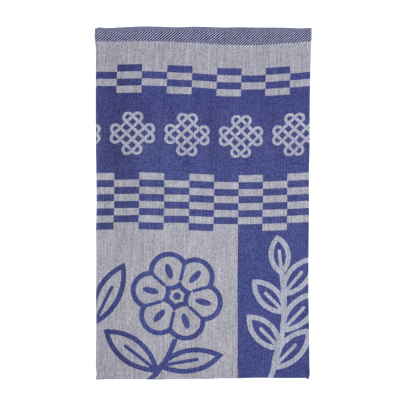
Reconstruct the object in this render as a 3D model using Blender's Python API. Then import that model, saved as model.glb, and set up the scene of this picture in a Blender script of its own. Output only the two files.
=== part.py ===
"""Tea towel of figured cotton, folded hem to hem and then in thirds, lying flat.

The cloth is one closed sheet. Along the towel it is a narrow U: from one hem down to the
half fold and back up to the other hem. Across the towel that U follows a route that turns
the two outer thirds in behind the middle one, so six layers lie on each other. +X runs
across the folded towel, +Y towards its hems and +Z up. The origin is under the middle of
the towel, on the surface that it lies on.
"""

import math
from collections import namedtuple

import bmesh
import bpy
import numpy as np

MM = 0.001

# The woven cloth, and the hem that is turned over twice at each end of it
CLOTH = 1.0 * MM
HEM_CLOTH = 1.5 * MM
HEM_RAMP = 1.5 * MM

# From the underside of one layer to that of the next, in the field and at the hems, and
# the stretch below the hem's seam on which the stack settles from one to the other
FIELD_PITCH = 1.4 * MM
HEM_PITCH = 1.85 * MM
SETTLES_FROM = 5.0 * MM
SETTLES_OVER = 28.0 * MM

# Length of one leg of the U. The back half of the cloth ends a little below the front hem
LEG = 325.0 * MM
BACK_HEM_SHORT = 2.5 * MM

# Where the middles of the two side folds' turns lie, before the edges' own unevenness
LEFT_TURN_X = -95.0 * MM
RIGHT_TURN_X = 96.0 * MM
TURN_SPAN = RIGHT_TURN_X - LEFT_TURN_X

# The free side edges stop this far short of the fold beyond them, and the lower one runs
# out of line by a little towards its ends
RIGHT_FLAP_GAP = 3.0 * MM
LEFT_FLAP_GAP = 1.5 * MM
LEFT_FLAP_SKEW = 1.2 * MM

# Faces where the stack settles, along the rest of a leg, round the half fold, across a flat
# third and round a side fold
SETTLING_CELLS = 3
LEG_CELLS = 8
HALF_FOLD_CELLS = 5
HIDDEN_CELLS = 8
FACE_CELLS = 13
TIGHT_FOLD_CELLS = 7
WIDE_FOLD_CELLS = 10

COTTON_COLOR = (0.25, 0.26, 0.40, 1.0)

# The outline from above, as uneven as the folds leave it. A side row gives both side folds
# at one height on the towel. An end row gives the hems' edge, the depth of the hem and the
# half fold at one place across it.
Side = namedtuple("Side", "y left right")
SIDES = [
    Side(y=-163.6 * MM, left=-98.0 * MM, right=97.0 * MM),
    Side(y=-160.5 * MM, left=-98.9 * MM, right=98.3 * MM),
    Side(y=-151.0 * MM, left=-99.6 * MM, right=98.8 * MM),
    Side(y=-105.0 * MM, left=-99.2 * MM, right=97.8 * MM),
    Side(y=-58.0 * MM, left=-99.0 * MM, right=97.2 * MM),
    Side(y=-21.0 * MM, left=-99.2 * MM, right=98.0 * MM),
    Side(y=-3.0 * MM, left=-98.6 * MM, right=98.2 * MM),
    Side(y=25.0 * MM, left=-99.3 * MM, right=97.9 * MM),
    Side(y=80.0 * MM, left=-99.5 * MM, right=98.8 * MM),
    Side(y=127.0 * MM, left=-99.3 * MM, right=99.2 * MM),
    Side(y=145.0 * MM, left=-99.6 * MM, right=99.7 * MM),
    Side(y=154.0 * MM, left=-100.5 * MM, right=100.4 * MM),
    Side(y=161.0 * MM, left=-100.5 * MM, right=100.5 * MM),
]
End = namedtuple("End", "x hem hem_depth fold")
ENDS = [
    End(x=-100.0 * MM, hem=161.7 * MM, hem_depth=12.6 * MM, fold=-163.3 * MM),
    End(x=-86.0 * MM, hem=162.3 * MM, hem_depth=13.0 * MM, fold=-163.2 * MM),
    End(x=-68.0 * MM, hem=163.2 * MM, hem_depth=13.2 * MM, fold=-163.0 * MM),
    End(x=-45.0 * MM, hem=163.7 * MM, hem_depth=13.7 * MM, fold=-163.0 * MM),
    End(x=-22.0 * MM, hem=162.7 * MM, hem_depth=13.9 * MM, fold=-162.9 * MM),
    End(x=-8.0 * MM, hem=163.3 * MM, hem_depth=14.8 * MM, fold=-162.8 * MM),
    End(x=17.0 * MM, hem=162.6 * MM, hem_depth=15.7 * MM, fold=-162.1 * MM),
    End(x=30.0 * MM, hem=163.0 * MM, hem_depth=16.5 * MM, fold=-162.2 * MM),
    End(x=52.0 * MM, hem=162.6 * MM, hem_depth=16.1 * MM, fold=-161.9 * MM),
    End(x=75.0 * MM, hem=162.4 * MM, hem_depth=15.0 * MM, fold=-162.3 * MM),
    End(x=92.0 * MM, hem=162.0 * MM, hem_depth=13.5 * MM, fold=-161.8 * MM),
    End(x=99.0 * MM, hem=162.0 * MM, hem_depth=12.2 * MM, fold=-161.8 * MM),
]

# The route of the doubled cloth from one free side edge to the other. level is the height
# of its middle, or of the middle of its turn, counted in layers, and radius is the turn's
# in layers too. looks is the way that the face of the cloth looks, in degrees from +X
# towards +Z, and turns is how far that swings along the run. start and end run from 0 at
# the left-hand turn's middle to 1 at the right-hand one's. hem_out and fold_out say how
# far the cloth's two ends stand out past the outline, in a turn halfway round it.
Run = namedtuple("Run", "level radius looks turns start end cells hem_out fold_out")
ROUTE = [
    Run(  # right-hand third, folded in first
        level=2.5, radius=0.0, looks=-90, turns=0, start=RIGHT_FLAP_GAP / TURN_SPAN, end=1.0,
        cells=HIDDEN_CELLS, hem_out=-1.5 * MM, fold_out=-0.5 * MM,
    ),
    Run(  # right-hand fold
        level=3.5, radius=1.0, looks=-90, turns=180, start=1.0, end=1.0,
        cells=TIGHT_FOLD_CELLS, hem_out=0.8 * MM, fold_out=1.4 * MM,
    ),
    Run(  # middle third, the side that shows
        level=4.5, radius=0.0, looks=90, turns=0, start=1.0, end=0.0,
        cells=FACE_CELLS, hem_out=0.0, fold_out=0.0,
    ),
    Run(  # left-hand fold, round the third folded in before it
        level=2.5, radius=2.0, looks=90, turns=180, start=0.0, end=0.0,
        cells=WIDE_FOLD_CELLS, hem_out=1.0 * MM, fold_out=0.6 * MM,
    ),
    Run(  # left-hand third, underneath
        level=0.5, radius=0.0, looks=270, turns=0, start=0.0, end=1.0 - LEFT_FLAP_GAP / TURN_SPAN,
        cells=HIDDEN_CELLS, hem_out=-0.8 * MM, fold_out=-1.0 * MM,
    ),
]

# A place along the route, and a place along the U: in_hem goes from 0 at the hem's edge to
# 1 at its seam, down from 0 at the seam to 1 at the half fold, and bend from 0 to half a
# turn round that fold
Station = namedtuple("Station", "level radius looks across skew hem_out fold_out")
Place = namedtuple("Place", "in_hem down bend")


def read(rows, key, column, value):
    """The value of a column between two rows of a table, in proportion."""
    keys = [getattr(row, key) for row in rows]
    values = [getattr(row, column) for row in rows]
    return float(np.interp(value, keys, values))


def ease(value):
    """0 to 1 with no corner at either end."""
    value = min(max(value, 0.0), 1.0)
    return value * value * (3.0 - 2.0 * value)


def mix(start, end, share):
    return start + (end - start) * share


def stands_out(number, share, column):
    """How far an end of the cloth stands out, on a share of the way along a run."""
    own = getattr(ROUTE[number], column)
    if not ROUTE[number].turns:
        return own
    before, after = (getattr(ROUTE[number + step], column) for step in (-1, 1))
    return mix(before, after, ease(share)) + own * math.sin(math.pi * share) ** 2


def stations():
    """Every place along the route where the U stands, from free edge to free edge."""
    places = []
    for number, run in enumerate(ROUTE):
        last = number == len(ROUTE) - 1
        for cell in range(run.cells + last):
            share = cell / run.cells
            looks = math.radians(run.looks + run.turns * share)
            across = mix(run.start, run.end, share)
            skew = LEFT_FLAP_SKEW * share if last else 0.0
            outs = (stands_out(number, share, column) for column in ("hem_out", "fold_out"))
            places.append(Station(run.level, run.radius, looks, across, skew, *outs))
    return places


def u_places():
    """Every place along the U, from the front hem round the half fold to the back hem."""
    settled = (SETTLES_FROM + SETTLES_OVER) / LEG
    leg = [(0.0, 0.0), (0.5, 0.0), (1.0, 0.0), (1.0, HEM_RAMP / LEG)]
    leg += [(1.0, settled * (cell + 1) / SETTLING_CELLS) for cell in range(SETTLING_CELLS)]
    leg += [(1.0, mix(settled, 1.0, (cell + 1) / LEG_CELLS)) for cell in range(LEG_CELLS)]
    bends = [math.pi * cell / HALF_FOLD_CELLS for cell in range(1, HALF_FOLD_CELLS)]
    front = [Place(in_hem, down, 0.0) for in_hem, down in leg]
    back = [Place(in_hem, down, math.pi) for in_hem, down in reversed(leg)]
    return front + [Place(1.0, 1.0, bend) for bend in bends] + back


def cloth_point(station, place, side):
    """A point of the cloth's skin. side is 1 on its face and -1 on its back."""
    x = mix(LEFT_TURN_X, RIGHT_TURN_X, station.across)
    hem_depth = read(ENDS, "x", "hem_depth", x)
    front_seam = read(ENDS, "x", "hem", x) - hem_depth
    seam = front_seam + station.hem_out
    if place.bend > math.pi / 2:
        seam -= BACK_HEM_SHORT
    half_fold = read(ENDS, "x", "fold", x) - station.fold_out + (FIELD_PITCH + CLOTH) / 2
    y = mix(seam, half_fold, place.down) + hem_depth * (1.0 - place.in_hem)
    cloth = mix(HEM_CLOTH, CLOTH, ease((seam - y) / HEM_RAMP))
    pitch = mix(HEM_PITCH, FIELD_PITCH, ease((front_seam - y - SETTLES_FROM) / SETTLES_OVER))
    reach = (pitch + side * cloth) / 2
    y -= reach * math.sin(place.bend)
    out = station.radius * pitch + reach * math.cos(place.bend)
    left_middle = read(SIDES, "y", "left", y) + 2.5 * pitch + cloth / 2
    right_middle = read(SIDES, "y", "right", y) - 1.5 * pitch - cloth / 2
    x = mix(left_middle, right_middle, station.across) + station.skew * 2 * y / LEG
    x += out * math.cos(station.looks)
    z = cloth / 2 + station.level * pitch + out * math.sin(station.looks)
    return x, y, z


def towel_cloth():
    """The whole cloth: its face and its back, joined along the hems and the side edges."""
    route, along = stations(), u_places()
    mesh = bmesh.new()
    face, back = (
        [[mesh.verts.new(cloth_point(s, p, side)) for p in along] for s in route]
        for side in (1, -1)
    )
    last_station, last_place = len(route) - 1, len(along) - 1
    for i in range(last_station):
        for j in range(last_place):
            for skin in (face, back):
                mesh.faces.new((skin[i][j], skin[i + 1][j], skin[i + 1][j + 1], skin[i][j + 1]))
        for j in (0, last_place):
            mesh.faces.new((face[i][j], face[i + 1][j], back[i + 1][j], back[i][j]))
    for j in range(last_place):
        for i in (0, last_station):
            mesh.faces.new((face[i][j], face[i][j + 1], back[i][j + 1], back[i][j]))
    bmesh.ops.recalc_face_normals(mesh, faces=mesh.faces)
    data = bpy.data.meshes.new("towel_cloth")
    mesh.to_mesh(data)
    mesh.free()
    data.shade_smooth()
    data.set_sharp_from_angle(angle=math.radians(40))
    return data


def figured_cotton():
    """Cotton in grey white and blue: matt, with a faint bloom of fibres."""
    material = bpy.data.materials.new("figured_cotton")
    material.use_nodes = True
    shader = material.node_tree.nodes["Principled BSDF"]
    shader.inputs["Base Color"].default_value = COTTON_COLOR
    shader.inputs["Roughness"].default_value = 0.92
    shader.inputs["Metallic"].default_value = 0.0
    shader.inputs["Sheen Weight"].default_value = 0.25
    return material


for old in list(bpy.data.objects):
    bpy.data.objects.remove(old, do_unlink=True)

towel = bpy.data.objects.new("towel_cloth", towel_cloth())
towel.data.materials.append(figured_cotton())
bpy.context.scene.collection.objects.link(towel)
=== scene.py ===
# %% [markdown]
# # A folded tea towel in figured cotton
#
# The towel is one woven cloth with a hem at each end. It is folded hem to hem and then in
# thirds, and it lies flat. The solid that this lesson starts from has the true folds at a
# coarse grain. Here they are drawn again as a fine thin sheet, and the weave, the colours and
# the sewing are added. Loading the frame comes first, because the camera is set from its box.

import math
from collections import namedtuple
from functools import partial

import bpy
import numpy as np
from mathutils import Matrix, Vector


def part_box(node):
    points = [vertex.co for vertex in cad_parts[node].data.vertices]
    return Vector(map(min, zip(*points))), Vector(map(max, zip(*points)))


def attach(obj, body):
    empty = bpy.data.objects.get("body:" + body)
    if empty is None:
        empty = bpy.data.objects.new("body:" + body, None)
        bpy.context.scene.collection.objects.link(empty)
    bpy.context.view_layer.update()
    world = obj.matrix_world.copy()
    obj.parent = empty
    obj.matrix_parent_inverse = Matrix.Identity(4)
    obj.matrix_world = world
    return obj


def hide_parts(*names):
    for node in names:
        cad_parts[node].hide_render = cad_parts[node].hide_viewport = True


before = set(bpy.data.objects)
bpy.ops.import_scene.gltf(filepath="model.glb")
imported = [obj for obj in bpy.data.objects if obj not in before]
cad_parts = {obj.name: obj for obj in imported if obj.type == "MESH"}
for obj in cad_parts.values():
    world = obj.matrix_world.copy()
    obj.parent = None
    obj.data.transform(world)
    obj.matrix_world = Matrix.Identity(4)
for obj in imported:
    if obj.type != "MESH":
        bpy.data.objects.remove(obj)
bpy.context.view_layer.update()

MM = 0.001
node_low, node_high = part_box("towel_cloth")
print("solid spans, mm:", [round(side / MM, 1) for side in node_high - node_low])

# %% [markdown]
# ## Camera, light and floor
#
# The towel was photographed from straight above, from so far off that nothing looks tapered.
# A long lens high over the middle gives the same flat view. A white room all round, with one
# large soft lamp a little beyond the hem, shows the weave without hard shadows. The floor is
# white card on a light table. It glows, so the thin stack throws no shadow that shows.

# %% Camera
PICTURE_PIXELS = 406
PIXEL = 0.9264 * MM
PICTURE_MIDDLE_X = -0.19 * MM
CAMERA_HEIGHT = 4.0
SENSOR = 36.0


def new_object(name, data, at=(0.0, 0.0, 0.0)):
    """An object for this data, linked to the scene."""
    made = bpy.data.objects.new(name, data)
    made.location = at
    bpy.context.scene.collection.objects.link(made)
    return made


picture_width = PICTURE_PIXELS * PIXEL
lens = SENSOR * (CAMERA_HEIGHT - node_high.z) / picture_width
camera_data = bpy.data.cameras.new("camera_above")
camera_data.sensor_width = SENSOR
camera_data.lens = lens
camera = new_object("camera_above", camera_data, (PICTURE_MIDDLE_X, 0.0, CAMERA_HEIGHT))
bpy.context.scene.camera = camera
print(f"the picture is {picture_width / MM:.0f} mm wide, through a {lens:.0f} mm lens")

# %% Adding nodes
# Nodes that come up often: type, settings, the inputs that feeds go to, and output
USUAL = {
    "mix colours": ("ShaderNodeMix", {"data_type": "RGBA"}, ("Factor", "A", "B"), "Result"),
    "mix numbers": ("ShaderNodeMix", {"data_type": "FLOAT"}, ("Factor", "A", "B"), "Result"),
    "ramp": ("ShaderNodeValToRGB", {}, ("Fac",), "Color"),
    "vector": ("ShaderNodeCombineXYZ", {}, ("X", "Y"), "Vector"),
    "split": ("ShaderNodeSeparateXYZ", {}, ("Vector",), "X"),
    "scale": ("ShaderNodeVectorMath", {"operation": "SCALE"}, (0, "Scale"), "Vector"),
    "length": ("ShaderNodeVectorMath", {"operation": "LENGTH"}, (0,), "Value"),
    "turn": ("ShaderNodeVectorRotate", {"rotation_type": "Z_AXIS"}, ("Vector", "Angle"), "Vector"),
}
SIGNS = {"+": "ADD", "-": "SUBTRACT", "*": "MULTIPLY", "/": "DIVIDE"}


def feed(node, feeds):
    """Feeds a node's inputs, by name or number. A socket is linked and a value is set. A
    tuple that starts with a kind of node has that node added first."""
    for key, value in feeds.items():
        if isinstance(value, tuple) and isinstance(value[0], str):
            value = add(node.id_data, *value)
        if isinstance(value, bpy.types.NodeSocket):
            node.id_data.links.new(value, node.inputs[key])
        else:
            node.inputs[key].default_value = value


def add(tree, kind, *feeds, out=0, stops=(), **settings):
    """Adds a node and returns one of its outputs.

    kind is one of the usual ones, a sign, a math operation in capitals, after VECTOR if it
    is a vector's, a motif's own tree, or any node's type. feeds go to the inputs in order,
    or by name in one dict. stops are a ramp's places, from 0 to below 1, with colours.
    """
    if isinstance(kind, bpy.types.NodeTree):
        kind, settings["node_tree"] = "ShaderNodeGroup", kind
    elif kind in USUAL:
        kind, usual_settings, inputs, out = USUAL[kind]
        settings = {**usual_settings, **settings}
        feeds = [dict(zip(inputs, feeds))]
    elif kind in SIGNS or kind.isupper():
        vector, _, settings["operation"] = SIGNS.get(kind, kind).rpartition(" ")
        kind = "ShaderNodeVectorMath" if vector else "ShaderNodeMath"
    node = tree.nodes.new(kind)
    for name, value in settings.items():
        setattr(node, name, value)
    feed(node, feeds[0] if feeds and isinstance(feeds[0], dict) else dict(enumerate(feeds)))
    for number, (place, colour) in enumerate(stops):
        band = node.color_ramp.elements
        stop = band.new(place) if number else band[0]
        stop.position = place
        stop.color = colour
    if stops:
        band.remove(band[-1])
    return node.outputs[out] if len(node.outputs) else None


print(len(USUAL), "usual kinds of node")

# %% Colours and materials
def linear(hex_colour):
    """A colour such as "#a7a7b1" as the linear numbers that shaders work with."""
    parts = [int(hex_colour[place:place + 2], 16) / 255.0 for place in (1, 3, 5)]
    light = [p / 12.92 if p <= 0.04045 else ((p + 0.055) / 1.055) ** 2.4 for p in parts]
    return (*light, 1.0)


def new_material(name):
    """A material, its shader, and the way to add nodes to it."""
    made = bpy.data.materials.new(name)
    made.use_nodes = True
    return made, made.node_tree.nodes["Principled BSDF"], partial(add, made.node_tree)


WHITE = linear("#ffffff")
print("#808080 is", round(linear("#808080")[0], 3), "of white's light")

# %% Room, lamp and floor
ROOM_STRENGTH = 0.68
LAMP_SIZE = 1.6
LAMP_PLACE = (0.3, 0.7, 1.95)
LAMP_POWER = 21.0
CARD_GLOW = 0.8
# Grains to the metre, so each is a little over 1 mm wide
CARD_GRAINS = 900.0
FLOOR_RADIUS = 9.0
FLOOR_DROP = 0.3 * MM

world = bpy.data.worlds.new("white_room")
world.use_nodes = True
feed(world.node_tree.nodes["Background"], {"Color": WHITE, "Strength": ROOM_STRENGTH})
bpy.context.scene.world = world

lamp_data = bpy.data.lights.new("soft_lamp", "AREA")
lamp_data.shape = "DISK"
lamp_data.size = LAMP_SIZE
lamp_data.energy = LAMP_POWER
lamp = new_object("soft_lamp", lamp_data, LAMP_PLACE)
lamp.rotation_mode = "QUATERNION"
lamp.rotation_quaternion = lamp.location.to_track_quat("Z", "Y")

# White card: it scatters most light, and glows because the table under it is lit
card, shader, put = new_material("white_card")
card_grain = put("ShaderNodeTexNoise", {"Scale": CARD_GRAINS, "Detail": 3.0})
feed(shader, {
    "Base Color": ("mix colours", card_grain, linear("#d8d8d8"), linear("#dedede")),
    "Roughness": 0.95,
    "Emission Color": WHITE,
    "Emission Strength": CARD_GLOW,
})
bpy.ops.mesh.primitive_circle_add(
    vertices=96, radius=FLOOR_RADIUS, fill_type="NGON", location=(0.0, 0.0, -FLOOR_DROP)
)
floor = bpy.context.object
floor.name = "floor"
floor.data.materials.append(card)
bpy.context.scene.view_settings.view_transform = "Standard"
print("floor lies", FLOOR_DROP / MM, "mm under the towel")

# %% [markdown]
# ## The folds
#
# A towel folded in half and then in thirds is one long strip of cloth with a simple section
# each way. From hem to hem it is a narrow U. Across, that U follows a route: the right-hand
# third inside, the right fold, the middle third that shows, the left fold and the left-hand
# third underneath. A cloth simulation would settle these layers too, but it can't be told
# where each edge ends up. So short tables give the folds, and every point follows from them.

# %% Sizes of the sheet
# A pitch is the height from one layer to the next, by the hems and in the rest
CLOTH = 0.8 * MM
HEM_CLOTH = 1.4 * MM
HEM_RAMP = 1.2 * MM
FIELD_PITCH = 1.4 * MM
HEM_PITCH = 1.85 * MM
SETTLES_FROM = 5.0 * MM
SETTLES_OVER = 28.0 * MM
LEG = 325.0 * MM
BACK_HEM_SHORT = 2.5 * MM
LEFT_TURN_X = -95.0 * MM
RIGHT_TURN_X = 96.0 * MM
TURN_SPAN = RIGHT_TURN_X - LEFT_TURN_X
RIGHT_FLAP_GAP = 3.0 * MM
LEFT_FLAP_GAP = 1.5 * MM
LEFT_FLAP_SKEW = 1.2 * MM


def from_mm(kind, rows):
    """Rows of numbers in millimetres as rows of this kind in metres."""
    return [kind(*(value * MM for value in row)) for row in rows]


# Where the side folds lie at each height on the towel, and where its two ends lie at each
# place across it. The edges wander by a millimetre or two, as soft folds do.
Side = namedtuple("Side", "y left right")
SIDES = from_mm(Side, [
    (-163.6, -100.2, 97.8), (-160.5, -99.3, 98.7), (-151, -99.85, 98.65), (-138, -99.7, 98.6),
    (-105, -99.3, 98.15), (-78, -99.55, 97.75), (-58, -99.25, 97.8), (-21, -99.45, 98.1),
    (-3, -99.05, 98.3), (25, -99.25, 98.2), (58, -99.7, 98.95), (80, -99.8, 98.9),
    (127, -99.8, 99.65), (145, -99.9, 100.1), (154, -100.55, 100.3), (161, -100.35, 100.4),
])
End = namedtuple("End", "x hem hem_depth fold")
ENDS = from_mm(End, [
    (-96, 163.1, 13.1, -163.9), (-91, 162.4, 12.75, -163.6), (-77, 162.9, 13.1, -163.4),
    (-54, 163.8, 13.6, -163.4), (-43, 163.6, 13.7, -163.75), (-22, 163, 14.2, -163.3),
    (-8, 163.6, 15.3, -163.15), (5, 163.2, 15.75, -163.25), (17, 162.8, 16.1, -162.6),
    (30, 163, 16.4, -162.6), (52, 162.75, 16.2, -162.1), (75, 162.6, 14.7, -162.4),
    (90, 162, 13.2, -162.3), (99, 162.6, 12.6, -162.3),
])
print(len(SIDES), "places down the sides and", len(ENDS), "across the ends")

# %% Smooth steps and tables
def mix(start, end, share):
    return start + (end - start) * share


def ease(value):
    """0 to 1 with no corner at either end."""
    value = np.clip(value, 0.0, 1.0)
    return value * value * (3.0 - 2.0 * value)


def hump(distance, width):
    """1 at no distance, falling softly to 0 over about two widths."""
    return np.exp(-((distance / width) ** 2))


def read(rows, column, where):
    """A column of a table at these places in its first column, along a smooth curve."""
    keys, values = np.array([(row[0], getattr(row, column)) for row in rows]).T
    slopes = np.gradient(values, keys)
    first = np.clip(np.searchsorted(keys, where) - 1, 0, len(keys) - 2)
    step = keys[first + 1] - keys[first]
    t = np.clip((where - keys[first]) / step, 0.0, 1.0)
    bend = t * (t - 1.0) * step * ((t - 1.0) * slopes[first] + t * slopes[first + 1])
    return mix(values[first], values[first + 1], ease(t)) + bend


print(f"halfway down, the left fold lies at {read(SIDES, 'left', 0.0) / MM:.1f} mm")

# %% The route across the towel
# level counts layers up from the floor, radius is a turn's radius in layers, looks is the
# way that the cloth's face looks in degrees, and turns is how far that swings on the way.
# start and end are places across, from 0 at the left fold to 1 at the right one. hem_out
# and fold_out are how far the hem and the half fold stand out there.
Run = namedtuple("Run", "name level radius looks turns start end cells hem_out fold_out")
ROUTE = [
    Run("right third", 2.5, 0.0, -90, 0, RIGHT_FLAP_GAP / TURN_SPAN, 1.0, 36, -1.5 * MM, -0.5 * MM),
    Run("right fold", 3.5, 1.0, -90, 180, 1.0, 1.0, 16, 0.8 * MM, 1.5 * MM),
    Run("middle third", 4.5, 0.0, 90, 0, 1.0, 0.0, 96, 0.0, 0.0),
    Run("left fold", 2.5, 2.0, 90, 180, 0.0, 0.0, 18, -0.7 * MM, 0.6 * MM),
    Run("left third", 0.5, 0.0, 270, 0, 0.0, 1.0 - LEFT_FLAP_GAP / TURN_SPAN, 40, -0.8 * MM, -1.0 * MM),
]
NUMBER = {run.name: number for number, run in enumerate(ROUTE)}
# How far a side fold's outermost layer is from its middle line, in layers
LEFT_REACH, RIGHT_REACH = (
    ROUTE[NUMBER[name]].radius + 0.5 for name in ("left fold", "right fold")
)
print(len(ROUTE), "runs, with", sum(run.cells for run in ROUTE), "cells")

# %% Places along the route
SELVEDGE_STEPS = (0.0008, 0.0025, 0.006)


def stands_out(number, share, column):
    """How far an end of the cloth stands out at a share of the way along a run."""
    own = getattr(ROUTE[number], column)
    if not ROUTE[number].turns:
        return own
    before, after = (getattr(ROUTE[number + step], column) for step in (-1, 1))
    return mix(before, after, ease(share)) + own * np.sin(np.pi * share) ** 2


rows = []
for number, run in enumerate(ROUTE):
    shares = set(np.linspace(0.0, 1.0, run.cells + 1))
    if number == 0:
        shares |= set(SELVEDGE_STEPS)
    if number == len(ROUTE) - 1:
        shares |= {1.0 - step for step in SELVEDGE_STEPS}
    else:
        shares.discard(1.0)
    share = np.array(sorted(shares))
    looks = np.radians(run.looks + run.turns * share)
    across = mix(run.start, run.end, share)
    skew = LEFT_FLAP_SKEW * share * (number == len(ROUTE) - 1)
    outs = [stands_out(number, share, column) for column in ("hem_out", "fold_out")]
    row = (run.level, run.radius, looks, across, skew, *outs, number)
    rows.append(np.broadcast_arrays(*row))
# The places along the route as columns, one row each, and the run that each is on
names = "level radius looks across skew hem_out fold_out run".split()
stations = dict(zip(names, np.hstack(rows)[:, :, None]))
print(len(stations["run"]), "places along the route")

# %% [markdown]
# ## The U from hem to hem
#
# Down the towel the places are close together where the shape is tight: at the hem's rounded
# edge, at its seam and round the half fold. The hem is the end of the cloth turned over
# twice, so it is thicker, with a groove where the sewing pulls it in.

# %% Places along the U
ROUND_STEPS = (0.0, 0.006, 0.022, 0.05)
EVEN_FROM = 0.1
HEM_CELLS = 13
SEAM_STEPS = (0.0012, 0.0026, 0.0045, 0.008)
FRONT_CELLS = 104
BACK_CELLS = 44
HALF_FOLD_CELLS = 12

# in_hem is 0 at the hem's edge and 1 at its seam, down is 1 at the half fold, and bend goes
# round that fold to half a turn.
hem = sorted({*ROUND_STEPS, *np.linspace(EVEN_FROM, 1.0, HEM_CELLS)})
front, back = (
    [(share, 0.0) for share in hem]
    + [(1.0, share) for share in SEAM_STEPS]
    + [(1.0, share) for share in np.linspace(0.0, 1.0, cells + 1)[1:] if share > SEAM_STEPS[-1]]
    for cells in (FRONT_CELLS, BACK_CELLS)
)
bends = np.linspace(0.0, np.pi, HALF_FOLD_CELLS + 1)[1:-1]
rows = [(in_hem, down, 0.0) for in_hem, down in front]
rows += [(1.0, 1.0, bend) for bend in bends]
rows += [(in_hem, down, np.pi) for in_hem, down in reversed(back)]
places = dict(zip(("in_hem", "down", "bend"), np.array(rows).T[:, None, :]))
print(places["down"].shape[1], "places along the U")

# %% [markdown]
# ## Unevenness
#
# Real layers don't lie dead flat, so three things are added. Every layer ripples by a
# tenth of a millimetre. The stack as a whole swells and sinks a little. A few soft troughs
# and ridges follow what lies underneath and where the hem pulls. They scale the height of the
# whole stack, so the layers never cross.

# %% Ripples, swells and creases
RIPPLE = 0.10 * MM
RIPPLE_ACROSS = 67.0 * MM
RIPPLE_DOWN = 91.0 * MM
# A quicker ripple lies slantwise over the slow one
SLOW_PART = 0.7
QUICK_PART = 0.3
QUICK_ACROSS = 0.41
QUICK_DOWN = 0.73
SWELL = 0.020
SWELL_ACROSS = 31.0 * MM
SWELL_DOWN = 43.0 * MM
SWELL_SHIFT_ACROSS = 0.8
SWELL_SHIFT_DOWN = 0.3

# A crease is a soft trough or ridge at x, y. It runs along turn, in degrees from +X, with a
# length, a width and a height, which is a share of the stack's and below 0 in a trough.
# The rest is in millimetres.
CREASES = [
    (-96, -10, 90, 150, 12, 0.030), (-76, 20, 88, 130, 16, -0.050), (-54, 138, 0, 26, 9, -0.075),
    (34, 128, 84, 34, 15, -0.045), (68, 122, 100, 30, 12, 0.030), (-28, 139, 20, 32, 7, 0.026),
    (20, -96, -12, 60, 18, -0.020), (84, -40, 90, 100, 12, 0.024), (0, -154, 0, 90, 7, 0.030),
]


def unevenness(x, y):
    """How much higher or lower the stack is here, as a share of its height."""
    total = SWELL * np.sin(x / SWELL_ACROSS + SWELL_SHIFT_ACROSS)
    total = total * np.sin(y / SWELL_DOWN + SWELL_SHIFT_DOWN)
    for crease_x, crease_y, turn, length, width, height in CREASES:
        right, up = x - crease_x * MM, y - crease_y * MM
        cosine, sine = math.cos(math.radians(turn)), math.sin(math.radians(turn))
        along = hump(right * cosine + up * sine, length * MM)
        total += height * along * hump(up * cosine - right * sine, width * MM)
    return total


def ripple(cloth_x, cloth_y):
    """How far the cloth's middle leaves its layer at a place on the cloth."""
    slow = np.sin(2 * np.pi * cloth_x / RIPPLE_ACROSS) * np.sin(2 * np.pi * cloth_y / RIPPLE_DOWN)
    quick = np.sin(2 * np.pi * (cloth_x / QUICK_ACROSS + cloth_y / QUICK_DOWN) / RIPPLE_ACROSS)
    return RIPPLE * (SLOW_PART * slow + QUICK_PART * quick)


print(len(CREASES), "creases")

# %% The cloth's thickness
ROLL_DEPTH = 3.6 * MM
ROLL_ENDS_X = 26.0 * MM
ROLL_FADES = 6.0 * MM
ROLL_RISE = 0.14 * MM
DIP_AT = ROLL_DEPTH * 1.15
DIP_WIDTH = ROLL_DEPTH / 5
GROOVE = 0.42 * MM
GROOVE_WIDTH = 0.9 * MM
STITCH_PAST = 0.5 * MM


def thickness(body, from_edge, hem_depth, x, thin):
    """The cloth's thickness: its body's, but round at the hem's edge, rolled there on the
    left-hand side, drawn in along the stitches, and thin at the woven side edges."""
    rolled = 1.0 - ease((x - ROLL_ENDS_X) / ROLL_FADES)
    cloth = body + rolled * ROLL_RISE * hump(from_edge - ROLL_DEPTH / 2, ROLL_DEPTH / 2)
    cloth = cloth - rolled * ROLL_RISE * hump(from_edge - DIP_AT, DIP_WIDTH)
    cloth = cloth - GROOVE * hump(from_edge - hem_depth - STITCH_PAST, GROOVE_WIDTH)
    tip = np.clip(1.0 - from_edge / (HEM_CLOTH / 2), 0.0, 1.0)
    return cloth * np.sqrt(1.0 - tip * tip) * thin


print("the cloth is", CLOTH / MM, "mm thick, and", HEM_CLOTH / MM, "in the hems")

# %% The cloth's points
SELVEDGE_THIN = 0.3
SELVEDGE_WIDTH = 0.5 * MM
RIPPLES_FROM = 6.0 * MM
RIPPLES_OVER = 20.0 * MM


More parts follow.
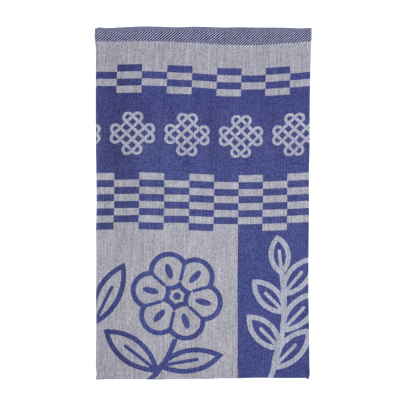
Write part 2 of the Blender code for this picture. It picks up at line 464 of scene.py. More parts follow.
def cloth_points(station, place, side):
    """The points of a skin of the cloth: side is 1 on its face, -1 on its back and 0 between.
    Also gives each point's distance from the nearest hem's edge."""
    across = station["across"]
    flat_x = mix(LEFT_TURN_X, RIGHT_TURN_X, across)
    hem_depth = read(ENDS, "hem_depth", flat_x)
    front_seam = read(ENDS, "hem", flat_x) - hem_depth
    seam = front_seam + station["hem_out"] - BACK_HEM_SHORT * (place["bend"] > np.pi / 2)
    half_fold = read(ENDS, "fold", flat_x) - station["fold_out"] + (FIELD_PITCH + CLOTH) / 2
    y = mix(seam, half_fold, place["down"]) + hem_depth * (1.0 - place["in_hem"])
    from_edge = seam + hem_depth - y
    thin = 1.0 - (1.0 - SELVEDGE_THIN) * hump(station["selvedge"], SELVEDGE_WIDTH)
    body = mix(HEM_CLOTH, CLOTH, ease((from_edge - hem_depth) / HEM_RAMP))
    cloth = thickness(body, from_edge, hem_depth, flat_x, thin)
    pitch = mix(HEM_PITCH, FIELD_PITCH, ease((front_seam - y - SETTLES_FROM) / SETTLES_OVER))
    reach = (pitch + side * cloth) / 2
    y = y - reach * np.sin(place["bend"])
    out = station["radius"] * pitch + reach * np.cos(place["bend"])
    left_middle = read(SIDES, "left", y) + LEFT_REACH * pitch + CLOTH / 2
    right_middle = read(SIDES, "right", y) - RIGHT_REACH * pitch - CLOTH / 2
    x = mix(left_middle, right_middle, across) + station["skew"] * 2 * y / LEG
    stack = body / 2 + station["level"] * pitch
    above_floor = ease((stack + out * np.sin(station["looks"]) - CLOTH) / FIELD_PITCH)
    ripples = ease((from_edge - RIPPLES_FROM) / RIPPLES_OVER)
    out = out + ripple(station["cloth_x"], y) * above_floor * ripples
    x = x + out * np.cos(station["looks"])
    z = stack + out * np.sin(station["looks"])
    z = z * (1.0 + unevenness(x, y))
    return np.stack(np.broadcast_arrays(x, y, z), axis=-1), from_edge


print("ripples come in over", RIPPLES_OVER / MM, "mm beside each hem")

# %% [markdown]
# ## Places on the cloth itself
#
# A woven pattern belongs to the cloth and not to the room, so it needs the cloth's own
# measure: how far across it a point is, and how far down from the hem's seam. The distance
# across is added up along the route, and where the towel is wider more of the cloth shows.
# It was folded a little askew, so a short table says how far the threads have slid at each
# distance from the seam. They also lie a little wider apart on the left than on the right,
# which one slow wave gives, and the crosswise threads bow a little.

# %% Measuring the cloth
SEAM_TO_FOLD = 314.0 * MM
HALF_FOLD_ARC = np.pi * FIELD_PITCH / 2
CLOTH_MIDDLE = SEAM_TO_FOLD + HALF_FOLD_ARC / 2
HALF_WAY = len(ROUND_STEPS) + HEM_CELLS + FRONT_CELLS // 2

Slide = namedtuple("Slide", "down to_right")
SLIDES = from_mm(Slide, [
    (0, 3.85), (35, 3.4), (87, 2), (138, 1.1), (175, 0.75), (314, 0.15),
])
CROWDING = 0.5 * MM
CROWDING_X = 3.5 * MM
CROWDING_LENGTH = 176.0 * MM
BOW = 0.7 * MM
BOW_X = 38.0 * MM
BOW_WIDTH = 43.0 * MM
BOW_STARTS = 15.0 * MM

# Each station's place across the cloth, and its distance from the nearer side edge
middle = {name: row[:, [HALF_WAY]] for name, row in places.items()}
stations["cloth_x"] = stations["selvedge"] = np.full_like(stations["across"], 1.0)
line = cloth_points(stations, middle, 0)[0][:, 0]
walked = np.concatenate([[0.0], np.cumsum(np.linalg.norm(np.diff(line, axis=0), axis=1))])
shows = stations["run"][:, 0] == NUMBER["middle third"]
at_middle = np.interp(0.0, line[shows, 0][::-1], walked[shows][::-1])
stations["cloth_x"] = (at_middle - walked)[:, None]
stations["selvedge"] = np.minimum(walked, walked[-1] - walked)[:, None]
print(f"the route is {walked[-1] / MM:.0f} mm, and the pattern {2 * CLOTH_MIDDLE / MM:.0f} mm from"
      " seam to seam")

# %% [markdown]
# ## The sheet
#
# The two skins are grids of points, joined along the hems' edges and closed along the two
# woven edges. The mesh carries three things for the material: the cloth's own measure as a UV
# map, the distance from the hem's edge, and whether a face is on the cloth's back. A second
# UV map lays the sheet out flat for baking, with most of its room for the side that shows.

# %% Points of the sheet
face, from_edge = cloth_points(stations, places, 1)
back, _ = cloth_points(stations, places, -1)
rows, columns = face.shape[:2]
# Both skins have the same points at the hems' edges
face_number = np.arange(rows * columns).reshape(rows, columns)
back_number = face_number.copy()
back_number[:, 1:-1] = rows * columns + np.arange(rows * (columns - 2)).reshape(rows, columns - 2)
points = np.concatenate([face.reshape(-1, 3), back[:, 1:-1].reshape(-1, 3)])
from_edge = np.concatenate([from_edge.ravel(), from_edge[:, 1:-1].ravel()])
print(len(points), "points, on grids of", (rows, columns))

# %% The cloth's measure
# Across and down from the front hem's seam, at every station and place
y = points[face_number, 1]
flat_x = mix(LEFT_TURN_X, RIGHT_TURN_X, stations["across"])
bend, legs = places["bend"], places["down"] * SEAM_TO_FOLD
down = np.where(bend < np.pi, legs + bend / np.pi * HALF_FOLD_ARC, 2 * CLOTH_MIDDLE - legs)
far_half = np.where(bend > np.pi / 2, 1.0, -1.0)
down = down + far_half * (1.0 - places["in_hem"]) * read(ENDS, "hem_depth", flat_x)
mirrored = np.minimum(down, 2 * CLOTH_MIDDLE - down)
slid = read(SLIDES, "to_right", mirrored)
slid = slid + CROWDING * np.cos(2 * np.pi * (flat_x - CROWDING_X) / CROWDING_LENGTH)
width, own_width = (read(SIDES, "right", at) - read(SIDES, "left", at) for at in (y, 0.0))
across = stations["cloth_x"] * width / own_width - slid
bowed = BOW * hump(flat_x - BOW_X, BOW_WIDTH) * ease(mirrored / BOW_STARTS)
measure = (across, down + far_half * bowed)
print("the threads slide up to", round(slid.max() / MM, 1), "mm")

# %% Laying the sheet out for baking
# Where each part of the sheet goes on the bake's square: left, bottom, width and height
Plot = namedtuple("Plot", "left bottom width height")
SHOWN = Plot(0.005, 0.005, 0.49, 0.99)
UNDERSIDE = Plot(0.505, 0.005, 0.24, 0.99)
HIDDEN = [Plot(0.755, 0.005 + 0.235 * row, 0.24, 0.225) for row in range(4)]
WOVEN_EDGES = Plot(0.755, 0.95, 0.24, 0.04)
WOVEN_GAP = 0.1


def cells_of(*grids):
    """The four corners of every cell, in order round it, with a value from each grid."""
    rings = [[grid[:-1, :-1], grid[1:, :-1], grid[1:, 1:], grid[:-1, 1:]] for grid in grids]
    return np.stack([np.stack(ring, axis=-1) for ring in rings], axis=-1)


def bake_layout(blocks):
    """The bake map's coordinates for the cells of a skin. Each block of them, given by its
    first and last station and its first and last place, goes on its own plot."""
    flat = np.zeros((rows - 1, columns - 1, 4, 2))
    for top, foot, left, right, plot in blocks:
        i, j = np.meshgrid(np.arange(top, foot + 1), np.arange(left, right + 1), indexing="ij")
        u = plot.left + (i - top) / (foot - top) * plot.width
        v = plot.bottom + (j - left) / (right - left) * plot.height
        flat[top:foot, left:right] = cells_of(u, v)
    return flat


first_runs = (NUMBER["right fold"], NUMBER["left third"])
shown, underside = np.searchsorted(stations["run"][:, 0], first_runs)
turn = int(np.argmax(places["bend"][0] >= np.pi / 2))
end, last = rows - 1, columns - 1
face_layout = bake_layout([
    (shown, underside, 0, turn, SHOWN), (underside, end, 0, turn, UNDERSIDE),
    (0, shown, 0, turn, HIDDEN[0]), (0, end, turn, last, HIDDEN[1]),
])
back_layout = bake_layout([(0, end, 0, turn, HIDDEN[2]), (0, end, turn, last, HIDDEN[3])])
print("the half fold is at place", turn, "of", columns)

# %% Building the sheet
cells, cloth_uv, bake_uv = [], [], []
# The back's cells go the other way round, so that they face out too
for grid, layout, way in ((face_number, face_layout, 1), (back_number, back_layout, -1)):
    cells += cells_of(grid).reshape(-1, 4)[:, ::way].tolist()
    cloth_uv += cells_of(*measure).reshape(-1, 4, 2)[:, ::way].reshape(-1, 2).tolist()
    bake_uv += layout.reshape(-1, 4, 2)[:, ::way].reshape(-1, 2).tolist()
on_back = np.repeat((0.0, 1.0), len(cells) // 2).tolist()
# The woven edges join the skins. At each end, where the skins share a point, a cell has
# three corners.
grids = (face_number, back_number)
for row, step in ((0, 1), (rows - 1, -1)):
    for j in range(columns - 1):
        near, far = (j, j + 1)[::step]
        ring = {}
        for skin, column in ((0, near), (0, far), (1, far), (1, near)):
            ring.setdefault(int(grids[skin][row, column]), (skin, column))
        cells.append(list(ring))
        for skin, column in ring.values():
            cloth_uv.append([axis[row, column] for axis in measure])
            up = (skin + (step < 0) * (1 + WOVEN_GAP)) / (2 + WOVEN_GAP)
            bake_uv.append([
                WOVEN_EDGES.left + WOVEN_EDGES.width * column / columns,
                WOVEN_EDGES.bottom + WOVEN_EDGES.height * up,
            ])
        on_back.append(0.0)
mesh = bpy.data.meshes.new("towel_sheet")
mesh.from_pydata(points.tolist(), [], cells)
for name, uv in (("cloth", cloth_uv), ("OFBake", bake_uv)):
    mesh.uv_layers.new(name=name).data.foreach_set("uv", np.array(uv).ravel())
for name, domain, values in (("from_edge", "POINT", from_edge), ("on_back", "FACE", on_back)):
    mesh.attributes.new(name, "FLOAT", domain).data.foreach_set("value", values)
mesh.shade_smooth()
sheet = new_object("towel_sheet", mesh)
sheet_low, sheet_high = points.min(axis=0), points.max(axis=0)
print(len(sheet.data.polygons), "faces, from", sheet_low / MM, "to", sheet_high / MM, "mm")

# %% [markdown]
# ## The hem's stitches
#
# Each hem is sewn down with a row of short upright stitches in pale thread, like bright ticks
# under the twill band. Nearly three hundred alike small pieces along a line are work for
# Geometry Nodes: points are spread along a guide on the seam, and one small lens shape stands
# on each. A seeded random value makes them as uneven as sewing is.

# %% The guide along the seam
STITCHES = {
    "Pitch": 2.7 * MM, "Length": 3.6 * MM, "Width": 1.3 * MM, "Height": 0.6 * MM,
    "Slant": -math.radians(14.0), "Seed": 7,
}
STITCH_SINK = 0.15 * MM
STITCH_LEANS = (-0.32, 0.32)
STITCH_STRETCHES = (0.55, 1.2)


def unit(vectors):
    return vectors / np.linalg.norm(vectors, axis=1)[:, None]


# A line of points along the front hem's seam, with the way that is out of the cloth. The
# third that is turned in lies deep in the stack and gets none.
sewn = stations["run"][:, 0] != NUMBER["right third"]
line = {name: column[sewn] for name, column in stations.items()}
depth = read(ENDS, "hem_depth", mix(LEFT_TURN_X, RIGHT_TURN_X, line["across"]))
skins = []
for past in (STITCH_PAST - STITCHES["Length"] / 2, STITCH_PAST + STITCHES["Length"] / 2):
    place = {"in_hem": 1.0 + min(past, 0.0) / depth, "down": max(past, 0.0) / SEAM_TO_FOLD, "bend": 0.0}
    skins.append([cloth_points(line, place, side)[0][:, 0] for side in (1, -1)])
(hem_face, hem_back), (field_face, field_back) = skins
lie = unit(field_face - hem_face)
outward = hem_face + field_face - hem_back - field_back
outward = unit(outward - lie * (outward * lie).sum(axis=1)[:, None])
line_points = (hem_face + field_face) / 2 - STITCH_SINK * outward
mesh = bpy.data.meshes.new("seam_guide")
mesh.from_pydata(line_points.tolist(), [(i, i + 1) for i in range(len(outward) - 1)], [])
attribute = mesh.attributes.new("outward", "FLOAT_VECTOR", "POINT")
attribute.data.foreach_set("vector", outward.ravel())
guide = new_object("seam_guide", mesh)
print("the guide has", len(guide.data.vertices), "points")

# %% [markdown]
# ## Sewing thread
#
# The stitches are sewing cotton: mercerised, which leaves it smoother and a little shinier
# than the cloth, and twisted, which shows as a fine slanting grain. The twist is far below a
# pixel, so it is drawn at twice its real size.

# %% Sewing cotton
THREAD_TWIST = 0.5 * MM
TWIST_SLANT = math.radians(35)
# A wave texture of scale 1 has its bands 6.28 / 20 apart
TWIST_SCALE = 6.28 / (20.0 * THREAD_TWIST)
TWIST_RISE = 0.05 * MM

sewing_cotton, shader, put = new_material("sewing_cotton")
place = put("ShaderNodeTexCoord", out="Object")
turned = put("ShaderNodeMapping", {"Vector": place, "Rotation": (0.0, 0.0, TWIST_SLANT)})
twist = put(
    "ShaderNodeTexWave",
    {"Vector": turned, "Scale": TWIST_SCALE, "Distortion": 0.6, "Detail": 1.0}, out="Fac",
)
relief = put("ShaderNodeBump", {"Height": twist, "Distance": TWIST_RISE, "Strength": 0.6})
feed(shader, {
    "Base Color": ("mix colours", twist, linear("#abaabd"), linear("#d0cfdd")),
    "Normal": relief,
    "Roughness": 0.62,
    "Sheen Weight": 0.10,
})
print("sewing cotton has", len(sewing_cotton.node_tree.nodes), "nodes")

# %% The stitches' tree
SOCKETS = {"Geometry": "NodeSocketGeometry", "Seed": "NodeSocketInt"}


def new_group(name, inputs, outputs, kind="ShaderNodeTree"):
    """An empty node group with these sockets, which are numbers where SOCKETS says nothing
    else, the way to add nodes to it, and its inner inputs."""
    tree = bpy.data.node_groups.new(name, kind)
    for in_out, sockets in (("INPUT", inputs), ("OUTPUT", outputs)):
        for socket in sockets.split(", "):
            socket_type = SOCKETS.get(socket, "NodeSocketFloat")
            tree.interface.new_socket(socket, in_out=in_out, socket_type=socket_type)
    # The last inner input is the empty one that new links would make
    return tree, partial(add, tree), tree.nodes.new("NodeGroupInput").outputs[:-1]


tree, put, (line, pitch, length, width, height, slant, seed) = new_group(
    "hem_stitching", "Geometry, Pitch, Length, Width, Height, Slant, Seed", "Geometry",
    kind="GeometryNodeTree",
)
curve = put("GeometryNodeMeshToCurve", line)
spaced = put("GeometryNodeResampleCurve", {"Curve": curve, "Length": pitch}, mode="LENGTH")
outward = put("GeometryNodeInputNamedAttribute", {"Name": "outward"}, data_type="FLOAT_VECTOR")
upright = put("FunctionNodeAlignRotationToVector", {"Vector": outward}, axis="Z")
lined_up = put(
    "FunctionNodeAlignRotationToVector",
    {"Rotation": upright, "Vector": ("GeometryNodeInputTangent",)}, axis="X", pivot_axis="Z",
)
uneven, stretch = (
    put("FunctionNodeRandomValue", {"Min": low, "Max": high, "Seed": own}, out=1, data_type="FLOAT")
    for (low, high), own in ((STITCH_LEANS, seed), (STITCH_STRETCHES, ("+", seed, 1.0)))
)
angle = put("+", slant, uneven)
lean = put("FunctionNodeAxisAngleToRotation", {"Axis": (0.0, 0.0, 1.0), "Angle": angle})
turned = put(
    "FunctionNodeRotateRotation", {"Rotation": lined_up, "Rotate By": lean}, rotation_space="LOCAL"
)
size = put("ShaderNodeCombineXYZ", width, ("*", length, stretch), height)
lens_shape = put("GeometryNodeMeshUVSphere", {"Segments": 8, "Rings": 6, "Radius": 1.0})
sewn = put(
    "GeometryNodeInstanceOnPoints",
    {"Points": spaced, "Instance": lens_shape, "Rotation": turned, "Scale": ("scale", size, 0.5)},
)
smooth = put("GeometryNodeSetShadeSmooth", ("GeometryNodeRealizeInstances", sewn))
threaded = put("GeometryNodeSetMaterial", {"Geometry": smooth, "Material": sewing_cotton})
put("NodeGroupOutput", threaded)
print("the stitches' tree has", len(tree.nodes), "nodes")

# %% Sewing the hem
modifier = guide.modifiers.new("hem_stitching", "NODES")
modifier.node_group = tree
for item in tree.interface.items_tree:
    if item.in_out == "INPUT" and item.name in STITCHES:
        modifier[item.identifier] = STITCHES[item.name]
evaluated = guide.evaluated_get(bpy.context.evaluated_depsgraph_get())
stitches = new_object("hem_stitches", bpy.data.meshes.new_from_object(evaluated))
stitches.data.name = "hem_stitches"
guide.modifiers.remove(modifier)
bpy.data.objects.remove(guide, do_unlink=True)
print(len(stitches.data.polygons), "faces in the stitches")

# %% [markdown]
# ## The woven pattern
#
# Figured cotton of this kind is a double weave of pale grey and blue yarn. Where the figure
# changes, the two yarns swap sides, so the back shows the same pattern with its colours
# exchanged. Math nodes draw the pattern on the cloth's own measure, in millimetres. Each
# motif is a small node group that answers one question: is the pale yarn on top here? Places
# are rounded to whole threads first, which gives every edge the tiny steps of a loom.
#
# ### Check bands
#
# Two bands of small bricks cross the towel, four rows high above the knots and eight below
# them. A brick is pale or blue by the old chessboard rule: count its column and its row, and
# look whether the sum is even. A brick is 56 by 16 whole threads, 0.4 mm apart, which is
# about twice as coarse as the real ones, so that they show.

# %% Check bands
BRICK_WIDTH = 22.93
BRICK_HEIGHT = 6.62
COLUMNS_START = 31.5
THREAD = (BRICK_WIDTH / 56, BRICK_HEIGHT / 16, 1.0)

check_tree, put, (across, down) = new_group("check_band", "Across, Down", "Pale")
column = put("FLOOR", ("/", ("-", across, COLUMNS_START), BRICK_WIDTH))
row = put("FLOOR", ("/", down, BRICK_HEIGHT))
odd = put("FLOORED_MODULO", ("+", column, row), 2.0)
put("NodeGroupOutput", ("-", 1.0, odd))
print("check band:", len(check_tree.nodes), "nodes")

# %% [markdown]
# ### Endless knots
#
# The knot in the blue field is an old one: four long loops, two leaning each way, laced
# through each other. Turned by an eighth of a turn, each loop is a stadium, a straight line
# with round ends, and the strand is wherever the distance from its centre line is close to
# its radius. Mirroring the place gives two loops at once, and swapping its coordinates gives
# the other two. The crossings lie on a square grid, so the signs of two waves tell which
# strand dips under there, and it is half hidden beside the other one.

# %% Endless knots
KNOT_PITCH = 50.1
KNOT_START = 32.85
KNOT_UNIT_ACROSS = 5.53
KNOT_UNIT_DOWN = 5.37
LOOP_OFFSET = 1.414
LOOP_HALF_LENGTH = 2.546
LOOP_RADIUS = 0.707
STRAND_HALF_WIDTH = 0.25
UNDER_REACH = 0.12
UNDER_SHOWS = 0.68

knot_tree, put, (across, down) = new_group("endless_knots", "Across, Down", "Pale")
offset = put("-", across, KNOT_START)
repeated = put("WRAP", offset, KNOT_PITCH / 2, -KNOT_PITCH / 2)
knot_unit = (KNOT_UNIT_ACROSS, KNOT_UNIT_DOWN, 1.0)
plane = put("VECTOR DIVIDE", ("vector", repeated, down), knot_unit)
tilted = put("turn", plane, math.pi / 4)
waves = put("VECTOR SINE", ("scale", tilted, math.pi / LOOP_OFFSET))
wave, other_wave, _ = put("split", waves).node.outputs
first_is_over = put("GREATER_THAN", ("*", wave, other_wave), 0.0)
second_is_over = put("-", 1.0, first_is_over)
x, y, _ = put("split", ("VECTOR ABSOLUTE", tilted)).node.outputs
strands = []
for beside, length in ((x, y), (y, x)):
    past_end = put("MAXIMUM", ("-", length, LOOP_HALF_LENGTH), 0.0)
    distance = put("length", ("vector", ("-", beside, LOOP_OFFSET), past_end))
    strands.append(put("ABSOLUTE", ("-", distance, LOOP_RADIUS)))
seen = []
for strand, other, other_is_over in ((*strands, second_is_over), (*strands[::-1], first_is_over)):
    on_strand = put("LESS_THAN", strand, STRAND_HALF_WIDTH)
    crossed = put("LESS_THAN", other, STRAND_HALF_WIDTH + UNDER_REACH)
    crossed = put("*", crossed, other_is_over)
    shows = put("MULTIPLY_ADD", crossed, UNDER_SHOWS - 1.0, 1.0)
    seen.append(put("*", on_strand, shows))
put("NodeGroupOutput", ("MAXIMUM", *seen))
print("endless knots:", len(knot_tree.nodes), "nodes")

# %% [markdown]
# ### Leaves
#
# The two large fields at the fold end carry a bold line drawing: a blossom with leaves on the
# pale field, and a spray of leaves on the blue one. A leaf is where two circles overlap. Its
# outline is a band along the edge of that lens, with a midrib down the middle. The group
# gives the distance to the nearest inked line, below 0 inside it, so that leaves join by
# taking the smallest distance.

# %% Leaf
LINE = 4.7
RIB = 3.2
RIB_REACHES = 0.62

leaf_tree, put, (x, y, turn, half_length, half_width) = new_group(
    "leaf", "X, Y, Turn, Half Length, Half Width", "Ink"
)
own = put("turn", ("vector", x, y), ("*", turn, -1.0))
from_foot, across_leaf, _ = put("split", own).node.outputs
squares = put("+", ("POWER", half_length, 2.0), ("POWER", half_width, 2.0))
radius = put("/", squares, ("*", half_width, 2.0))
beside = put("+", ("ABSOLUTE", across_leaf), ("-", radius, half_width))
from_centre = put("length", ("vector", ("-", from_foot, half_length), beside))
outline = put("-", ("ABSOLUTE", ("-", from_centre, radius)), LINE / 2)
rib_past = put("MULTIPLY_ADD", half_length, -2 * RIB_REACHES, from_foot)
rib_past = put("MAXIMUM", ("MAXIMUM", rib_past, ("*", from_foot, -1.0)), 0.0)
rib = put("-", ("length", ("vector", rib_past, across_leaf)), RIB / 2)
put("NodeGroupOutput", ("MINIMUM", outline, rib))
print("leaf:", len(leaf_tree.nodes), "nodes")

# %% [markdown]
# ### Blossom
#
# A blossom repeats one petal round its middle. Folding the angle into a single sector makes
# every petal the same circle. The outline follows the circles, short lines part the petals, a
# filled drop lies in each, and a ring with a filled heart closes the middle.

# %% Blossom
PETALS = 6
PETAL_OUT = 24.5
PETAL_RADIUS = 16.0
HEART_RING = 9.2
HEART = 3.6
PART_FROM = 15.0
DROP_LENGTH = 7.5
DROP_WIDTH = 3.0
BLOSSOM_TURN = math.radians(12)

half_sector = math.pi / PETALS
cusp_rise = math.sqrt(PETAL_RADIUS ** 2 - (PETAL_OUT * math.sin(half_sector)) ** 2)
cusp = PETAL_OUT * math.cos(half_sector) + cusp_rise

blossom_tree, put, (x, y) = new_group("blossom", "X, Y", "Ink")
out = put("length", ("vector", x, y))
angle = put("+", ("ARCTAN2", y, x), BLOSSOM_TURN)
folded = put("WRAP", angle, half_sector, -half_sector)
petal_x = put("-", ("*", out, ("COSINE", folded)), PETAL_OUT)
petal = put("vector", petal_x, ("*", out, ("SINE", folded)))
edge = put("-", ("length", petal), PETAL_RADIUS)
ink = put("-", ("ABSOLUTE", edge), LINE / 2)
squeezed = put("VECTOR MULTIPLY", petal, (DROP_WIDTH / DROP_LENGTH, 1.0, 1.0))
drop = put("-", ("length", squeezed), DROP_WIDTH)
open_angle = put("-", half_sector, ("ABSOLUTE", folded))
parting = put("-", ("*", ("SINE", open_angle), out), RIB / 2)
parting = put("MAXIMUM", parting, ("-", PART_FROM, out))
parting = put("MAXIMUM", parting, ("-", out, cusp))
ring = put("-", ("ABSOLUTE", ("-", out, HEART_RING)), RIB / 2)
heart = put("-", out, HEART)
for line in (drop, parting, ring, heart):
    ink = put("MINIMUM", ink, line)
put("NodeGroupOutput", ink)
print("blossom:", len(blossom_tree.nodes), "nodes")

# %% [markdown]
# ### The drawings in the two fields
#
# Weavers call a mirrored drawing a point repeat, because it needs half the cards. Here it
# saves half the nodes: a drawing is laid out from its field's side edge to its middle, and
# the other half mirrors it. x runs from the edge between the two fields and y down from the
# check band, in millimetres. A stem is a stretch of a large circle, and the leaves of the
# spray have their feet on it.

# %% Drawings
FIELD_WIDTH = 265.0
Leaf = namedtuple("Leaf", "x y turn half_length half_width")
Stem = namedtuple("Stem", "centre_x centre_y radius top")


def on_stem(stem, y):
    """How far across a stem is at this height, on its right-hand side."""
    return stem.centre_x + math.sqrt(stem.radius ** 2 - (y - stem.centre_y) ** 2)


BLOSSOM_AT = (56.0, 62.0)
BLOSSOM_STEM = Stem(144, 76, 90, 102)
BLOSSOM_LEAVES = [
    Leaf(75, 131, -38, 29, 10.5),
    Leaf(71, 127, 190, 27.5, 9.5),
    Leaf(132, 86, -117, 29, 10),
]
SPRAY_STEM = Stem(-143, 70, 187, 39)
SPRAY_LEAVES = [
    Leaf(on_stem(SPRAY_STEM, y), y, turn, half_length, half_width)
    for y, turn, half_length, half_width in (
        (129, -46, 23, 9.6), (111, -134, 20.5, 8.8), (94, -46, 23, 9.6),
        (77, -134, 20, 8.6), (60, -50, 20.5, 9), (40, -97, 16.5, 8),
    )
]


def drawing(name, stem, leaves, blossom_at=None):
    """A group that gives the distance to the nearest line of a stem, its leaves and, where
    it has a place, a blossom."""
    tree, put, (x, y) = new_group(name, "X, Y", "Ink")

    def seen_from(foot_x, foot_y):
        return ("-", x, foot_x), ("-", y, foot_y)

    from_centre = put("length", ("vector", *seen_from(stem.centre_x, stem.centre_y)))
    ink = put("-", ("ABSOLUTE", ("-", from_centre, stem.radius)), LINE / 2)
    ink = put("MAXIMUM", ink, ("-", stem.top, y))
    for leaf in leaves:
        shape = (math.radians(leaf.turn), leaf.half_length, leaf.half_width)
        ink = put("MINIMUM", ink, put(leaf_tree, *seen_from(leaf.x, leaf.y), *shape))
    if blossom_at:
        ink = put("MINIMUM", ink, put(blossom_tree, *seen_from(*blossom_at)))
    put("NodeGroupOutput", ink)
    return tree


spray_tree = drawing("spray_of_leaves", SPRAY_STEM, SPRAY_LEAVES)
bloom_tree = drawing("blossom_with_leaves", BLOSSOM_STEM, BLOSSOM_LEAVES, BLOSSOM_AT)
print("drawings:", len(bloom_tree.nodes), "and", len(spray_tree.nodes), "nodes")

# %% [markdown]
# ### Twill in the hem
#
# The hem band is woven as twill: each thread passes over the next ones a step further on,
# which makes slanting ribs. Across and down added together stay the same along a rib, so a
# wave of that sum draws them, with a factor on down for the slant. The ribs get a little
# steeper across the towel, as it was folded a bit askew, and some noise makes them ragged.

# %% Twill
RIB_PITCH = 2.70
RIB_SLANT = 1.12
RIB_STEEPENS = 0.0007
RIB_RAGGED = 0.6
RIB_RAGGED_SIZE = 1.6
RIB_PALE_FROM = 0.42
RIB_PALE_TO = 0.76

twill_tree, put, (across, down) = new_group("twill", "Across, Down", "Pale")
place = put("vector", across, down)
ragged = put(
    "ShaderNodeTexNoise",
    {"Vector": place, "Scale": 1.0 / RIB_RAGGED_SIZE, "Detail": 1.0}, noise_dimensions="2D",
)
slant = put("MULTIPLY_ADD", across, RIB_STEEPENS, RIB_SLANT)
slanting = put("MULTIPLY_ADD", down, slant, across)
turns = put("*", slanting, 2 * math.pi / RIB_PITCH)
turns = put("MULTIPLY_ADD", ("-", ragged, 0.5), 2 * RIB_RAGGED, turns)
pale = put(
    "ShaderNodeMapRange", ("SINE", turns), RIB_PALE_FROM, RIB_PALE_TO,
    interpolation_type="SMOOTHSTEP",
)
put("NodeGroupOutput", pale)
print("twill:", len(twill_tree.nodes), "nodes")

# %% [markdown]
# ### Yarn
#
# Seen close, cotton yarn is never even. Thick and thin places run along each thread, as
# streaks down the cloth and across it, every crossing is a fleck of its own, and whole
# patches are a shade lighter or darker. Each of them is a noise. For the streaks the threads
# are counted, and each one reads the noise on a line of its own, far from the next. A float
# passes over two crosswise threads, so a fleck is one thread wide and two long, and the
# relief is a small pillow for each. A faint stripe marks every repeat of the weave.

# %% Yarn
STREAK_LENGTH = 30.0
PICK_LENGTH = 9.0
PATCH_WIDTH = 12.0
PATCH_LENGTH = 40.0
FAR_APART = 5.3
FLOAT = (THREAD[0], 2 * THREAD[1], 1.0)
WEAVE_REPEAT = 2.75

outputs = "Streak, Pick, Fleck, Patch, Repeat, Relief"
yarn_tree, put, (across, down) = new_group("yarn", "Across, Down", outputs)
plane = put("vector", across, down)
whole = put("VECTOR SNAP", plane, FLOAT)
counted = put("VECTOR DIVIDE", whole, FLOAT)
fleck = put("ShaderNodeTexWhiteNoise", {"Vector": whole}, noise_dimensions="2D")
stripe = put("*", across, 2 * math.pi / WEAVE_REPEAT)
waves = put("VECTOR SINE", ("scale", ("VECTOR DIVIDE", plane, FLOAT), math.pi))
pillow_x, pillow_y, _ = put("split", ("VECTOR ABSOLUTE", waves)).node.outputs
grains = {
    "Fleck": ("-", fleck, 0.5),
    "Repeat": ("SINE", stripe),
    "Relief": ("*", pillow_x, pillow_y),
}
for name, by_count, by_length in (
    ("Streak", (FAR_APART, 0.0, 0.0), (0.0, 1.0 / STREAK_LENGTH, 0.0)),
    ("Pick", (0.0, FAR_APART, 0.0), (1.0 / PICK_LENGTH, 0.0, 0.0)),
    ("Patch", (0.0, 0.0, 0.0), (1.0 / PATCH_WIDTH, 1.0 / PATCH_LENGTH, 0.0)),
):
    along = put("VECTOR MULTIPLY", plane, by_length)
    noise_place = put("VECTOR MULTIPLY_ADD", counted, by_count, along)
    grain = put(
        "ShaderNodeTexNoise",
        {"Vector": noise_place, "Scale": 1.0, "Detail": 1.0, "Roughness": 0.5}, noise_dimensions="2D",
    )
    grains[name] = ("-", grain, 0.5)
put("NodeGroupOutput", grains)
print("yarn:", len(yarn_tree.nodes), "nodes")

# %% [markdown]
# ## Figured cotton
#
# Now the groups come together. Going down from the seam there are a plain pale strip, a check
# band, the blue field with its knots, a second check band and the two large fields. A chain
# of mixes takes each zone over from the one before at its own line.

# %% Where the pale yarn is on top
STRIP_ENDS = 21.45
KNOTS_START = STRIP_ENDS + 4 * BRICK_HEIGHT
LOWER_CHECKS = 122.4
KNOTS_MIDDLE = 85.8
FIELDS_START = LOWER_CHECKS + 8 * BRICK_HEIGHT

cotton, shader, put = new_material("figured_cotton")
in_mm = put("scale", put("ShaderNodeUVMap", uv_map="cloth"), 1.0 / MM)
across, real_down, _ = put("split", in_mm).node.outputs
down = put("MINIMUM", real_down, ("-", 2 * CLOTH_MIDDLE / MM, real_down))
whole_across = put("+", ("SNAP", across, THREAD[0]), THREAD[0] / 2)
whole_down = put("+", ("SNAP", down, THREAD[1]), THREAD[1] / 2)
upper_checks, knots, lower_checks = (
    put(motif, whole_across, ("-", whole_down, start))
    for motif, start in (
        (check_tree, STRIP_ENDS), (knot_tree, KNOTS_MIDDLE), (check_tree, LOWER_CHECKS)
    )
)

from_boundary = put("-", whole_across, COLUMNS_START)
field_number = put("FLOOR", ("/", from_boundary, FIELD_WIDTH))
field_is_pale = put("FLOORED_MODULO", field_number, 2.0)
field_x = put("PINGPONG", from_boundary, FIELD_WIDTH / 2)
field_y = put("-", whole_down, FIELDS_START)
spray, bloom = (put(motif, field_x, field_y) for motif in (spray_tree, bloom_tree))
inked = put("LESS_THAN", ("mix numbers", field_is_pale, spray, bloom), 0.0)
fields = put("ABSOLUTE", ("-", field_is_pale, inked))

pale_on_top = 1.0
zones = [
    (STRIP_ENDS, upper_checks), (KNOTS_START, knots), (LOWER_CHECKS, lower_checks),
    (FIELDS_START, fields),
]
for line, figure in zones:
    passed = put("GREATER_THAN", whole_down, line)
    pale_on_top = put("mix numbers", passed, pale_on_top, figure)
on_back = put("ShaderNodeAttribute", out="Fac", attribute_name="on_back")
pale_on_top = put("ABSOLUTE", ("-", pale_on_top, on_back))
print("zones start at", [round(line, 1) for line, _ in zones], "mm below the seam")
